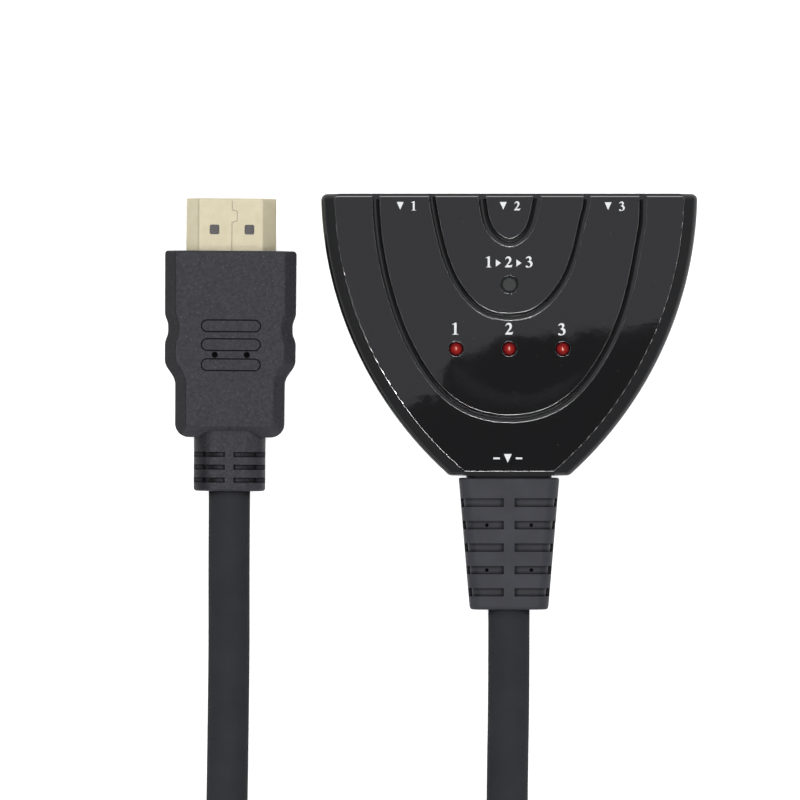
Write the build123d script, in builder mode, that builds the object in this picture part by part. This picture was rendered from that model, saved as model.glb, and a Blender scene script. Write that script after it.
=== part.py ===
from build123d import *
import os
from math import sin, cos, tan, radians, degrees, pi

os.makedirs("parts", exist_ok=True)

# =====================================================================
# Driving dimensions, in millimetres.
# Frame: origin at the centre of the box's underside, +Z up,
# +Y towards the socket face, +X to the right seen from above.
# =====================================================================

# casing
BOX_HALF_W = 29.0          # half width at the socket face
BOX_D = 43.4               # front face to rear face
BOX_H = 15.0
REAR_HALF_W = 9.25         # half width of the flat rear face
SIDE_MID = (25.15, 1.4)    # a point on the bowed side, seen from above
SPLIT_Z = 7.5              # parting line between the two casing halves
WALL = 1.5
FLANK_IN = 2.1             # how far the flat top plate stands inside the side
FLANK_DOWN = 1.5
FLANK_ROLL = 1.5           # rounding where the flank meets the upright side
REAR_CUT = 0.65            # narrow bevel along the rear
FRONT_CUT = 0.40           # and a finer one along the socket face
CORNER_R = 0.95
RIM_R = 0.3                # rounding round the top plate
EDGE_R = 0.14              # rounding of the groove rims
LIP_H = 0.8                # locating lip inside the parting line
LIP_T = 0.7
BASE_R = 0.6               # rounding round the underside

FRONT_Y = BOX_D / 2
REAR_Y = -BOX_D / 2

# decorative grooves in the top plate: half of each centre line, as
# (x, distance behind the front face)
GROOVE_DEPTH = 0.42
GROOVE_OUTER = [(20.55, -1.0), (20.2, 6.0), (18.4, 15.1), (14.1, 25.6), (7.5, 32.75), (0.0, 34.65)]
GROOVE_MIDDLE = [(11.95, -1.0), (11.45, 3.2), (9.9, 9.6), (6.9, 15.5), (3.3, 18.4), (0.0, 18.95)]
GROOVE_SMALL = [(4.25, -1.0), (4.0, 2.0), (2.9, 5.55), (0.0, 7.55)]
GROOVES = [(GROOVE_OUTER, 1.02), (GROOVE_MIDDLE, 0.92), (GROOVE_SMALL, 1.08)]

# button and lamps
BUTTON_Y = 7.7
BUTTON_R = 1.07
BUTTON_HOLE_R = 1.36
BUTTON_TOP = BOX_H - 0.05
LED_X = [-8.2, 0.0, 8.2]
LED_Y = -2.2
LED_R = 1.0
LED_HOLE_R = 1.1
LED_BASE_Z = 11.4

# circuit board
PCB_TOP = 4.9
PCB_T = 1.6
PCB_REAR_Y = -15.0
PCB_FRONT_Y = 19.8
POSTS = [(-9.5, 14.5), (9.5, 14.5), (-12.6, -10.0), (12.6, -10.0)]
POST_R = 1.75
PIN_R = 0.75

# sockets in the front face
PORT_X = [-19.0, 0.0, 19.0]
PORT_Z = 7.5
PORT_MOUTH_Y = FRONT_Y - 0.2
PORT_BACK_Y = 11.4
SHELL_T = 0.3
TONGUE_W = 11.0
TONGUE_T = 1.6
TONGUE_Y = 20.3

# strain relief on the box
RELIEF_Y0 = -22.1
RELIEF_Y1 = -42.4
RELIEF_Z = 7.5
RELIEF_W0, RELIEF_H0 = 15.5, 10.4
RELIEF_W1, RELIEF_H1 = 12.1, 8.6
RELIEF_ROWS = [(-25.21, -26.54), (-28.70, -30.0), (-32.16, -33.46), (-35.66, -36.91), (-39.07, -40.34)]
RELIEF_RIB = 0.83
POCKET_DEPTH = 0.5

# cable
CABLE_D = 6.4
CABLE_R = CABLE_D / 2
FLOOR_Z = 3.25             # height of the cable's centre line where it lies flat
COIL_X, COIL_Y = -28.0, -123.1
COIL_R_OUT = 36.5          # centre line of the outer turn
COIL_R_IN = 30.0           # centre line of the inner half turn

# plug
PLUG_AT = (-42.97, 12.97, 5.5)   # centre of the overmould's front face
PLUG_TURN = -0.4                 # degrees about +Z
PLUG_T = 11.0
PLUG_L = 28.8
PLUG_RELIEF_L = 8.3
PLUG_SHELL_OUT = 8.15

# the plug and socket profile: wide side, shoulder, narrow side
OPEN_HALF_W = 7.0
OPEN_HALF_H = 2.275
OPEN_NARROW = 5.05
OPEN_SHOULDER = 0.55


def section(y):
    """Upright plane across the box at y; an extrusion from it runs towards -Y."""
    return Plane(origin=(0, y, 0), x_dir=(1, 0, 0), z_dir=(0, -1, 0))


plug_plane = Plane(
    origin=PLUG_AT,
    x_dir=(cos(radians(PLUG_TURN)), sin(radians(PLUG_TURN)), 0),
    z_dir=(0, 0, 1),
)


def plug_section(y):
    """Upright plane across the plug, y forward of the overmould's front face."""
    return Plane(
        origin=plug_plane.from_local_coords((0, y, 0)),
        x_dir=plug_plane.x_dir,
        z_dir=plug_plane.y_dir * -1,
    )


def socket_points(cx, cz, up, grow=0.0):
    """Six corners of the socket profile; up = 1 puts the wide side on top."""
    w = OPEN_HALF_W + grow
    h = OPEN_HALF_H + grow
    n = OPEN_NARROW + grow * 0.6
    s = OPEN_SHOULDER + grow * 0.6
    pts = [(-w, h), (w, h), (w, -s), (n, -h), (-n, -h), (-w, -s)]
    return [(cx + x, cz + up * z) for x, z in pts]


def groove_line(half):
    left = [(-x, FRONT_Y - d) for x, d in half]
    right = [(x, FRONT_Y - d) for x, d in reversed(half[:-1])]
    return left + right


# =====================================================================
# Upper casing half
# =====================================================================
with BuildPart() as upper_cavity:
    with BuildSketch(Plane.XY.offset(SPLIT_Z)):
        with BuildLine():
            Line((-BOX_HALF_W, FRONT_Y), (BOX_HALF_W, FRONT_Y))
            ThreePointArc((BOX_HALF_W, FRONT_Y), SIDE_MID, (REAR_HALF_W, REAR_Y))
            Line((REAR_HALF_W, REAR_Y), (-REAR_HALF_W, REAR_Y))
            ThreePointArc((-REAR_HALF_W, REAR_Y), (-SIDE_MID[0], SIDE_MID[1]), (-BOX_HALF_W, FRONT_Y))
        make_face()
        offset(amount=-WALL, kind=Kind.INTERSECTION)
    extrude(amount=BOX_H - WALL - SPLIT_Z)
    chamfer(upper_cavity.faces().sort_by(Axis.Z)[-1].edges(), length=1.1)

with BuildPart() as top_shell:
    with BuildSketch(Plane.XY.offset(SPLIT_Z)):
        with BuildLine():
            Line((-BOX_HALF_W, FRONT_Y), (BOX_HALF_W, FRONT_Y))
            ThreePointArc((BOX_HALF_W, FRONT_Y), SIDE_MID, (REAR_HALF_W, REAR_Y))
            Line((REAR_HALF_W, REAR_Y), (-REAR_HALF_W, REAR_Y))
            ThreePointArc((-REAR_HALF_W, REAR_Y), (-SIDE_MID[0], SIDE_MID[1]), (-BOX_HALF_W, FRONT_Y))
        make_face()
    extrude(amount=BOX_H - SPLIT_Z)
    # sloped flank along both bowed sides
    plate = top_shell.faces().sort_by(Axis.Z)[-1]
    chamfer(
        [e for e in plate.edges() if abs(e.center().X) > 5.0],
        length=FLANK_IN,
        length2=FLANK_DOWN,
        reference=plate,
    )
    chamfer(
        top_shell.faces().sort_by(Axis.Z)[-1].edges().sort_by(Axis.Y)[0],
        length=REAR_CUT,
    )
    # the flank rolls over into the upright side
    low_line = [
        e
        for e in top_shell.edges()
        if abs(e.center().Z - (BOX_H - FLANK_DOWN)) < 0.05 and e.bounding_box().size.Z < 0.01
    ]
    fillet(low_line, radius=FLANK_ROLL)
    # the four upright corners
    corner = [
        e
        for e in top_shell.edges()
        if abs(e.center().X) > 6.0
        and e.bounding_box().size.Z > 0.25
        and (
            abs(e.bounding_box().min.Y - FRONT_Y) < 0.01
            or abs(e.bounding_box().max.Y - REAR_Y) < 0.01
        )
    ]
    fillet(corner, radius=CORNER_R)
    # rim of the top plate, and a fine rounding at the parting line
    fillet(top_shell.faces().sort_by(Axis.Z)[-1].edges(), radius=RIM_R)
    fillet(top_shell.faces().sort_by(Axis.Z)[0].edges(), radius=0.15)
    # three U-shaped grooves, open at the socket face
    with BuildSketch(Plane.XY.offset(BOX_H)):
        for half, width in GROOVES:
            with BuildLine() as groove:
                Spline(groove_line(half), tangents=[(0, -1), (0, 1)])
            trace(groove.edges(), line_width=width)
    extrude(amount=-GROOVE_DEPTH, mode=Mode.SUBTRACT)
    groove_rims = [
        e
        for f in top_shell.faces()
        if abs(f.center().Z - BOX_H) < 1e-4 and f.geom_type == GeomType.PLANE
        for e in f.edges()
        if e.geom_type == GeomType.BSPLINE and e.length > 15
    ]
    fillet(groove_rims, radius=EDGE_R)
    # bevel along the socket face: a hair-thin shallow facet, then 45 degrees
    with BuildSketch(Plane.YZ.offset(-BOX_HALF_W - 2)):
        with BuildLine():
            Polyline(
                (FRONT_Y - FRONT_CUT - 0.22, BOX_H + 0.045),
                (FRONT_Y - FRONT_CUT, BOX_H - 0.053),
                (FRONT_Y + 0.2, BOX_H - 0.253 - FRONT_CUT),
                (FRONT_Y + 0.2, BOX_H + 0.3),
                (FRONT_Y - FRONT_CUT - 0.22, BOX_H + 0.3),
                close=True,
            )
        make_face()
    extrude(amount=2 * BOX_HALF_W + 4, mode=Mode.SUBTRACT)
    # hollow inside
    add(upper_cavity.part, mode=Mode.SUBTRACT)
    # sockets for the lower half's lip, cut from the inner half of the wall
    with BuildSketch(Plane.XY.offset(SPLIT_Z)):
        with BuildLine():
            Line((-BOX_HALF_W, FRONT_Y), (BOX_HALF_W, FRONT_Y))
            ThreePointArc((BOX_HALF_W, FRONT_Y), SIDE_MID, (REAR_HALF_W, REAR_Y))
            Line((REAR_HALF_W, REAR_Y), (-REAR_HALF_W, REAR_Y))
            ThreePointArc((-REAR_HALF_W, REAR_Y), (-SIDE_MID[0], SIDE_MID[1]), (-BOX_HALF_W, FRONT_Y))
        make_face()
        offset(amount=-(WALL - LIP_T - 0.05), kind=Kind.INTERSECTION)
    extrude(amount=LIP_H + 0.05, mode=Mode.SUBTRACT)
    # tubes that come down over the lower half's pins and clamp the board
    with BuildSketch(Plane.XY.offset(PCB_TOP)):
        with Locations(*POSTS):
            Circle(POST_R)
    extrude(amount=BOX_H - WALL - PCB_TOP + 0.2)
    with BuildSketch(Plane.XY.offset(PCB_TOP)):
        with Locations(*POSTS):
            Circle(PIN_R)
    extrude(amount=5.2, mode=Mode.SUBTRACT)
    # button hole in a short guide collar
    with BuildSketch(Plane.XY.offset(BOX_H + 1)):
        with Locations((0, BUTTON_Y)):
            Circle(BUTTON_HOLE_R)
    extrude(amount=-4, mode=Mode.SUBTRACT)
    # lamp holes
    with BuildSketch(Plane.XY.offset(BOX_H + 1)):
        with Locations(*[(x, LED_Y) for x in LED_X]):
            Circle(LED_HOLE_R)
    extrude(amount=-4, mode=Mode.SUBTRACT)
    hole_rims = [
        e
        for e in top_shell.edges().filter_by(GeomType.CIRCLE)
        if abs(e.center().Z - BOX_H) < 1e-3 and e.radius < 2 and e.length > 5
    ]
    fillet(hole_rims, radius=0.12)
    # upper halves of the socket openings
    for px in PORT_X:
        with BuildSketch(section(FRONT_Y + 1)):
            with BuildLine():
                Polyline(socket_points(px, PORT_Z, 1, SHELL_T + 0.12), close=True)
            make_face()
        extrude(amount=WALL + 1.6, mode=Mode.SUBTRACT)
    # upper half of the strain relief's opening
    with BuildSketch(section(REAR_Y + WALL + 1)):
        with Locations((0, RELIEF_Z)):
            RectangleRounded(13.2, 8.2, 2.0)
    extrude(amount=WALL + 2, mode=Mode.SUBTRACT)
top_shell.part.label = "top_shell"
export_step(top_shell.part, "parts/top_shell.step")


# =====================================================================
# Lower casing half
# =====================================================================
with BuildPart() as bottom_shell:
    with BuildSketch(Plane.XY):
        with BuildLine():
            Line((-BOX_HALF_W, FRONT_Y), (BOX_HALF_W, FRONT_Y))
            ThreePointArc((BOX_HALF_W, FRONT_Y), SIDE_MID, (REAR_HALF_W, REAR_Y))
            Line((REAR_HALF_W, REAR_Y), (-REAR_HALF_W, REAR_Y))
            ThreePointArc((-REAR_HALF_W, REAR_Y), (-SIDE_MID[0], SIDE_MID[1]), (-BOX_HALF_W, FRONT_Y))
        make_face()
    extrude(amount=SPLIT_Z)
    fillet(
        [
            e
            for e in bottom_shell.edges().filter_by(Axis.Z)
            if abs(e.center().Y) > FRONT_Y - 0.01
        ],
        radius=CORNER_R,
    )
    fillet(bottom_shell.faces().sort_by(Axis.Z)[0].edges(), radius=BASE_R)
    # fine rounding at the parting line, so that the joint reads as a seam
    fillet(bottom_shell.faces().sort_by(Axis.Z)[-1].edges(), radius=0.15)
    # hollow inside
    with BuildSketch(Plane.XY.offset(WALL)):
        with BuildLine():
            Line((-BOX_HALF_W, FRONT_Y), (BOX_HALF_W, FRONT_Y))
            ThreePointArc((BOX_HALF_W, FRONT_Y), SIDE_MID, (REAR_HALF_W, REAR_Y))
            Line((REAR_HALF_W, REAR_Y), (-REAR_HALF_W, REAR_Y))
            ThreePointArc((-REAR_HALF_W, REAR_Y), (-SIDE_MID[0], SIDE_MID[1]), (-BOX_HALF_W, FRONT_Y))
        make_face()
        offset(amount=-WALL, kind=Kind.INTERSECTION)
    extrude(amount=SPLIT_Z, mode=Mode.SUBTRACT)
    # locating lip
    with BuildSketch(Plane.XY.offset(SPLIT_Z - 1.5)):
        with BuildLine():
            Line((-BOX_HALF_W, FRONT_Y), (BOX_HALF_W, FRONT_Y))
            ThreePointArc((BOX_HALF_W, FRONT_Y), SIDE_MID, (REAR_HALF_W, REAR_Y))
            Line((REAR_HALF_W, REAR_Y), (-REAR_HALF_W, REAR_Y))
            ThreePointArc((-REAR_HALF_W, REAR_Y), (-SIDE_MID[0], SIDE_MID[1]), (-BOX_HALF_W, FRONT_Y))
        make_face()
        offset(amount=-(WALL - LIP_T), kind=Kind.INTERSECTION)
        with BuildLine() as lip_in:
            Line((-BOX_HALF_W, FRONT_Y), (BOX_HALF_W, FRONT_Y))
            ThreePointArc((BOX_HALF_W, FRONT_Y), SIDE_MID, (REAR_HALF_W, REAR_Y))
            Line((REAR_HALF_W, REAR_Y), (-REAR_HALF_W, REAR_Y))
            ThreePointArc((-REAR_HALF_W, REAR_Y), (-SIDE_MID[0], SIDE_MID[1]), (-BOX_HALF_W, FRONT_Y))
        lip_hole = offset(make_face(lip_in.edges(), mode=Mode.PRIVATE), amount=-WALL, kind=Kind.INTERSECTION, mode=Mode.PRIVATE)
        add(lip_hole, mode=Mode.SUBTRACT)
    extrude(amount=1.5 + LIP_H)
    # posts under the board, each with a pin that passes through it
    with BuildSketch(Plane.XY.offset(WALL - 0.2)):
        with Locations(*POSTS):
            Circle(POST_R)
    extrude(amount=PCB_TOP - PCB_T - WALL + 0.2)
    with BuildSketch(Plane.XY.offset(WALL)):
        with Locations(*POSTS):
            Circle(PIN_R)
    extrude(amount=PCB_TOP + 4.6 - WALL)
    # lower halves of the socket openings
    for px in PORT_X:
        with BuildSketch(section(FRONT_Y + 1)):
            with BuildLine():
                Polyline(socket_points(px, PORT_Z, 1, SHELL_T + 0.12), close=True)
            make_face()
        extrude(amount=WALL + 1.6, mode=Mode.SUBTRACT)
    # lower half of the strain relief's opening
    with BuildSketch(section(REAR_Y + WALL + 1)):
        with Locations((0, RELIEF_Z)):
            RectangleRounded(13.2, 8.2, 2.0)
    extrude(amount=WALL + 2, mode=Mode.SUBTRACT)
bottom_shell.part.label = "bottom_shell"
export_step(bottom_shell.part, "parts/bottom_shell.step")


# =====================================================================
# Select button and its push switch
# =====================================================================
SWITCH_W = 4.5
SWITCH_TOP = 7.2
CAVITY_Z = 5.6
DOME_TOP = 6.3
PLUNGER_TOP = 8.7

with BuildPart() as select_button:
    with BuildSketch(Plane.XY.offset(PLUNGER_TOP)):
        with Locations((0, BUTTON_Y)):
            Circle(BUTTON_R)
    extrude(amount=BUTTON_TOP - PLUNGER_TOP)
    # collar that keeps it from falling out of its hole
    with BuildSketch(Plane.XY.offset(12.55)):
        with Locations((0, BUTTON_Y)):
            Circle(2.1)
    extrude(amount=0.8)
    fillet(select_button.faces().sort_by(Axis.Z)[-1].edges(), radius=0.18)
select_button.part.label = "select_button"
export_step(select_button.part, "parts/select_button.step")

with BuildPart() as switch_body:
    with BuildSketch(Plane.XY.offset(PCB_TOP)):
        with Locations((0, BUTTON_Y)):
            RectangleRounded(SWITCH_W, SWITCH_W, 0.3)
    extrude(amount=SWITCH_TOP - PCB_TOP)
    with BuildSketch(Plane.XY.offset(CAVITY_Z)):
        with Locations((0, BUTTON_Y)):
            Circle(1.75)
    extrude(amount=3, mode=Mode.SUBTRACT)
switch_body.part.label = "switch_body"
export_step(switch_body.part, "parts/switch_body.step")

with BuildPart() as switch_cover:
    with BuildSketch(Plane.XY.offset(SWITCH_TOP)):
        with Locations((0, BUTTON_Y)):
            RectangleRounded(SWITCH_W, SWITCH_W, 0.3)
            Circle(1.15, mode=Mode.SUBTRACT)
    extrude(amount=0.2)
switch_cover.part.label = "switch_cover"
export_step(switch_cover.part, "parts/switch_cover.step")

DOME_SPHERE = 2.506
DOME_T = 0.1
DOME_CENTRE = DOME_TOP - DOME_SPHERE
DOME_RIM = 1.65


def dome_x(radius, z):
    return (radius**2 - (z - DOME_CENTRE) ** 2) ** 0.5


def dome_z(radius, x):
    return DOME_CENTRE + (radius**2 - x**2) ** 0.5


with BuildPart() as snap_dome:
    dome_inner = DOME_SPHERE - DOME_T
    inner_rim = dome_x(dome_inner, CAVITY_Z)
    with BuildSketch(Plane.XZ.offset(-BUTTON_Y)):
        with BuildLine():
            ThreePointArc((0, DOME_TOP), (0.9, dome_z(DOME_SPHERE, 0.9)), (DOME_RIM, dome_z(DOME_SPHERE, DOME_RIM)))
            Polyline((DOME_RIM, dome_z(DOME_SPHERE, DOME_RIM)), (DOME_RIM, CAVITY_Z), (inner_rim, CAVITY_Z))
            ThreePointArc((inner_rim, CAVITY_Z), (0.9, dome_z(dome_inner, 0.9)), (0, DOME_TOP - DOME_T))
            Line((0, DOME_TOP - DOME_T), (0, DOME_TOP))
        make_face()
    revolve(axis=Axis((0, BUTTON_Y, 0), (0, 0, 1)), revolution_arc=360)
snap_dome.part.label = "snap_dome"
export_step(snap_dome.part, "parts/snap_dome.step")

with BuildPart() as switch_plunger:
    with BuildSketch(Plane.XY.offset(DOME_TOP)):
        with Locations((0, BUTTON_Y)):
            Circle(1.6)
    extrude(amount=0.55)
    with BuildSketch(Plane.XY.offset(DOME_TOP)):
        with Locations((0, BUTTON_Y)):
            Circle(1.0)
    extrude(amount=PLUNGER_TOP - DOME_TOP)
switch_plunger.part.label = "switch_plunger"
export_step(switch_plunger.part, "parts/switch_plunger.step")

with BuildPart() as switch_terminals:
    for sx in (-1, 1):
        for dy in (-1.5, 1.5):
            with BuildSketch(Plane.XZ.offset(-(BUTTON_Y + dy))):
                with BuildLine():
                    x0 = sx * SWITCH_W / 2
                    Polyline(
                        (x0, PCB_TOP + 0.9),
                        (x0 + sx * 0.35, PCB_TOP + 0.9),
                        (x0 + sx * 0.35, PCB_TOP + 0.2),
                        (x0 + sx * 1.0, PCB_TOP + 0.2),
                        (x0 + sx * 1.0, PCB_TOP),
                        (x0 + sx * 0.15, PCB_TOP),
                        (x0 + sx * 0.15, PCB_TOP + 0.7),
                        (x0, PCB_TOP + 0.7),
                        close=True,
                    )
                make_face()
            extrude(amount=0.35, both=True)
switch_terminals.part.label = "switch_terminals"
export_step(switch_terminals.part, "parts/switch_terminals.step")


# =====================================================================
# Circuit board
# =====================================================================
LED_PITCH = 1.27
LEG_Y = [13.2, 18.2]
LEG_X = OPEN_HALF_W + SHELL_T / 2

with BuildPart() as main_pcb:
    with BuildSketch(Plane.XY.offset(PCB_TOP - PCB_T)):
        with BuildLine():
            Line((-BOX_HALF_W, FRONT_Y), (BOX_HALF_W, FRONT_Y))
            ThreePointArc((BOX_HALF_W, FRONT_Y), SIDE_MID, (REAR_HALF_W, REAR_Y))
            Line((REAR_HALF_W, REAR_Y), (-REAR_HALF_W, REAR_Y))
            ThreePointArc((-REAR_HALF_W, REAR_Y), (-SIDE_MID[0], SIDE_MID[1]), (-BOX_HALF_W, FRONT_Y))
        make_face()
        offset(amount=-(WALL + 0.4), kind=Kind.INTERSECTION)
        with Locations((0, PCB_REAR_Y - 10)):
            Rectangle(60, 20, mode=Mode.SUBTRACT)
        with Locations(*POSTS):
            Circle(PIN_R + 0.1, mode=Mode.SUBTRACT)
        with Locations(*[(x + s * LED_PITCH / 2, LED_Y) for x in LED_X for s in (-1, 1)]):
            Circle(0.4, mode=Mode.SUBTRACT)
        with Locations(*[(px + s * LEG_X, y) for px in PORT_X for s in (-1, 1) for y in LEG_Y]):
            Rectangle(0.6, 1.5, mode=Mode.SUBTRACT)
    extrude(amount=PCB_T)
main_pcb.part.label = "main_pcb"
export_step(main_pcb.part, "parts/main_pcb.step")


# =====================================================================
# Sockets: metal shell, insulator with tongue, contacts
# =====================================================================
UPPER_PINS = [-4.5 + i for i in range(10)]
LOWER_PINS = [-4.0 + i for i in range(9)]
TONGUE_Z0 = PORT_Z - TONGUE_T / 2
TONGUE_Z1 = PORT_Z + TONGUE_T / 2
PIN_W = 0.36
PIN_T = 0.12
PIN_TAIL_Y = 10.3

for number, px in enumerate(PORT_X, 1):
    with BuildPart() as port_shell:
        with BuildSketch(section(PORT_MOUTH_Y)):
            with BuildLine():
                Polyline(socket_points(px, PORT_Z, 1, SHELL_T), close=True)
            make_face()
        extrude(amount=PORT_MOUTH_Y - PORT_BACK_Y)
        fillet(port_shell.edges().filter_by(Axis.Y), radius=0.6)
        with BuildSketch(section(PORT_MOUTH_Y)):
            with BuildLine():
                Polyline(socket_points(px, PORT_Z, 1), close=True)
            opening = make_face()
            fillet(opening.vertices(), radius=0.4)
        extrude(amount=PORT_MOUTH_Y - PORT_BACK_Y, mode=Mode.SUBTRACT)
        # solder legs down through the board
        for sx in (-1, 1):
            for ly in LEG_Y:
                with BuildSketch(Plane.XY.offset(PCB_TOP - PCB_T - 0.5)):
                    with Locations((px + sx * LEG_X, ly)):
                        Rectangle(SHELL_T, 1.1)
                extrude(amount=PORT_Z - 0.2 - (PCB_TOP - PCB_T - 0.5))
    port_shell.part.label = f"port_{number}_shell"
    export_step(port_shell.part, f"parts/port_{number}_shell.step")

    with BuildPart() as port_contacts:
        for pins, z0, z1 in ((UPPER_PINS, TONGUE_Z1, TONGUE_Z1 + PIN_T), (LOWER_PINS, TONGUE_Z0, TONGUE_Z0 - PIN_T)):
            zt = max(z0, z1)
            zb = min(z0, z1)
            with BuildSketch(*[Plane.YZ.offset(px + x) for x in pins]):
                with BuildLine():
                    Polyline(
                        (TONGUE_Y - 0.35, zb),
                        (TONGUE_Y - 0.35, zt),
                        (PORT_BACK_Y - 0.32, zt),
                        (PORT_BACK_Y - 0.32, PCB_TOP + PIN_T),
                        (PIN_TAIL_Y, PCB_TOP + PIN_T),
                        (PIN_TAIL_Y, PCB_TOP),
                        (PORT_BACK_Y - 0.2, PCB_TOP),
                        (PORT_BACK_Y - 0.2, zb),
                        close=True,
                    )
                make_face()
            extrude(amount=PIN_W / 2, both=True)
    port_contacts.part.label = f"port_{number}_contacts"
    export_step(port_contacts.part, f"parts/port_{number}_contacts.step")

    with BuildPart() as port_insulator:
        with BuildSketch(section(PORT_BACK_Y + 3.0)):
            with BuildLine():
                Polyline(socket_points(px, PORT_Z, 1, -0.02), close=True)
            block = make_face()
            fillet(block.vertices(), radius=0.4)
        extrude(amount=3.0)
        with BuildSketch(section(TONGUE_Y)):
            with Locations((px, PORT_Z)):
                Rectangle(TONGUE_W, TONGUE_T)
        extrude(amount=TONGUE_Y - PORT_BACK_Y - 1.0)
        chamfer(
            [
                e
                for e in port_insulator.edges().filter_by(Axis.X)
                if e.center().Y > TONGUE_Y - 0.01
            ],
            length=0.25,
        )
        add(port_contacts.part, mode=Mode.SUBTRACT)
    port_insulator.part.label = f"port_{number}_insulator"
    export_step(port_insulator.part, f"parts/port_{number}_insulator.step")


# =====================================================================
# Indicator lamps
# =====================================================================
LED_DOME_TOP = BOX_H + 0.34
LED_DOME_Z = BOX_H - 0.22
led_cap = LED_DOME_TOP - LED_DOME_Z
led_sphere = (LED_R**2 + led_cap**2) / (2 * led_cap)
led_centre = LED_DOME_TOP - led_sphere

for number, lx in enumerate(LED_X, 1):
    with BuildPart() as led:
        with BuildSketch(Plane.XZ.offset(-LED_Y)):
            with BuildLine():
                Polyline(
                    (lx, LED_DOME_TOP),
                    (lx, LED_BASE_Z),
                    (lx + 1.3, LED_BASE_Z),
                    (lx + 1.3, LED_BASE_Z + 0.7),
                    (lx + LED_R, LED_BASE_Z + 0.7),
                    (lx + LED_R, LED_DOME_Z),
                )
                ThreePointArc(
                    (lx + LED_R, LED_DOME_Z),
                    (lx + LED_R / 2, led_centre + (led_sphere**2 - LED_R**2 / 4) ** 0.5),
                    (lx, LED_DOME_TOP),
                )
            make_face()
        revolve(axis=Axis((lx, LED_Y, 0), (0, 0, 1)), revolution_arc=360)
    led.part.label = f"led_{number}"
    export_step(led.part, f"parts/led_{number}.step")

with BuildPart() as led_leads:
    with BuildSketch(Plane.XY.offset(PCB_TOP - PCB_T - 0.6)):
        with Locations(*[(x + s * LED_PITCH / 2, LED_Y) for x in LED_X for s in (-1, 1)]):
            Rectangle(0.42, 0.42)
    extrude(amount=LED_BASE_Z - (PCB_TOP - PCB_T - 0.6))
led_leads.part.label = "led_leads"
export_step(led_leads.part, "parts/led_leads.step")


# =====================================================================
# Switch chip and small parts on the board
# =====================================================================
CHIP_Y = -8.3
CHIP_W = 7.0

with BuildPart() as switch_chip:
    with BuildSketch(Plane.XY.offset(PCB_TOP + 0.1)):
        with Locations((0, CHIP_Y)):
            Rectangle(CHIP_W, CHIP_W)
    extrude(amount=1.4)
    chamfer(switch_chip.faces().sort_by(Axis.Z)[-1].edges(), length=0.2)
    with BuildSketch(Plane.XY.offset(PCB_TOP + 1.5)):
        with Locations((-2.7, CHIP_Y + 2.7)):
            Circle(0.35)
    extrude(amount=-0.1, mode=Mode.SUBTRACT)
switch_chip.part.label = "switch_chip"
export_step(switch_chip.part, "parts/switch_chip.step")

with BuildPart() as chip_leads:
    lead = [
        (CHIP_W / 2, PCB_TOP + 0.9),
        (CHIP_W / 2 + 0.3, PCB_TOP + 0.9),
        (CHIP_W / 2 + 0.3, PCB_TOP + 0.12),
        (CHIP_W / 2 + 0.9, PCB_TOP + 0.12),
        (CHIP_W / 2 + 0.9, PCB_TOP),
        (CHIP_W / 2 + 0.18, PCB_TOP),
        (CHIP_W / 2 + 0.18, PCB_TOP + 0.78),
        (CHIP_W / 2, PCB_TOP + 0.78),
    ]
    pitches = [-2.75 + 0.5 * i for i in range(12)]
    for s in (-1, 1):
        with BuildSketch(*[Plane.XZ.offset(-(CHIP_Y + p)) for p in pitches]):
            with BuildLine():
                Polyline([(s * x, z) for x, z in lead], close=True)
            make_face()
        extrude(amount=0.11, both=True)
        with BuildSketch(*[Plane.YZ.offset(p) for p in pitches]):
            with BuildLine():
                Polyline([(CHIP_Y + s * x, z) for x, z in lead], close=True)
            make_face()
        extrude(amount=0.11, both=True)
chip_leads.part.label = "chip_leads"
export_step(chip_leads.part, "parts/chip_leads.step")

CHIP_PARTS = [
    (-7.0, -5.6), (-7.0, -7.4), (-7.0, -9.2), (7.0, -5.6), (7.0, -7.4), (7.0, -9.2),
    (-14.0, 6.0), (-14.0, 4.0), (14.0, 6.0), (14.0, 4.0), (-19.0, 8.0), (19.0, 8.0),
    (-5.2, 1.4), (5.2, 1.4), (-9.8, 1.4), (9.8, 1.4),
]
with BuildPart() as chip_resistors:
    with BuildSketch(Plane.XY.offset(PCB_TOP)):
        with Locations(*CHIP_PARTS):
            Rectangle(1.6, 0.8)
    extrude(amount=0.5)
chip_resistors.part.label = "chip_resistors"
export_step(chip_resistors.part, "parts/chip_resistors.step")


# =====================================================================
# Strain relief on the box, the cable end that it holds, and the wires
# =====================================================================
with BuildPart() as relief_slots:
    for y0, y1 in RELIEF_ROWS:
        for sx in (-1, 1):
            for sz in (-1, 1):
                with BuildSketch(section(y0)):
                    with Locations((sx * (RELIEF_RIB + 5), RELIEF_Z + sz * (1.9 + 5))):
                        Rectangle(10, 10)
                extrude(amount=y0 - y1)

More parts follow.
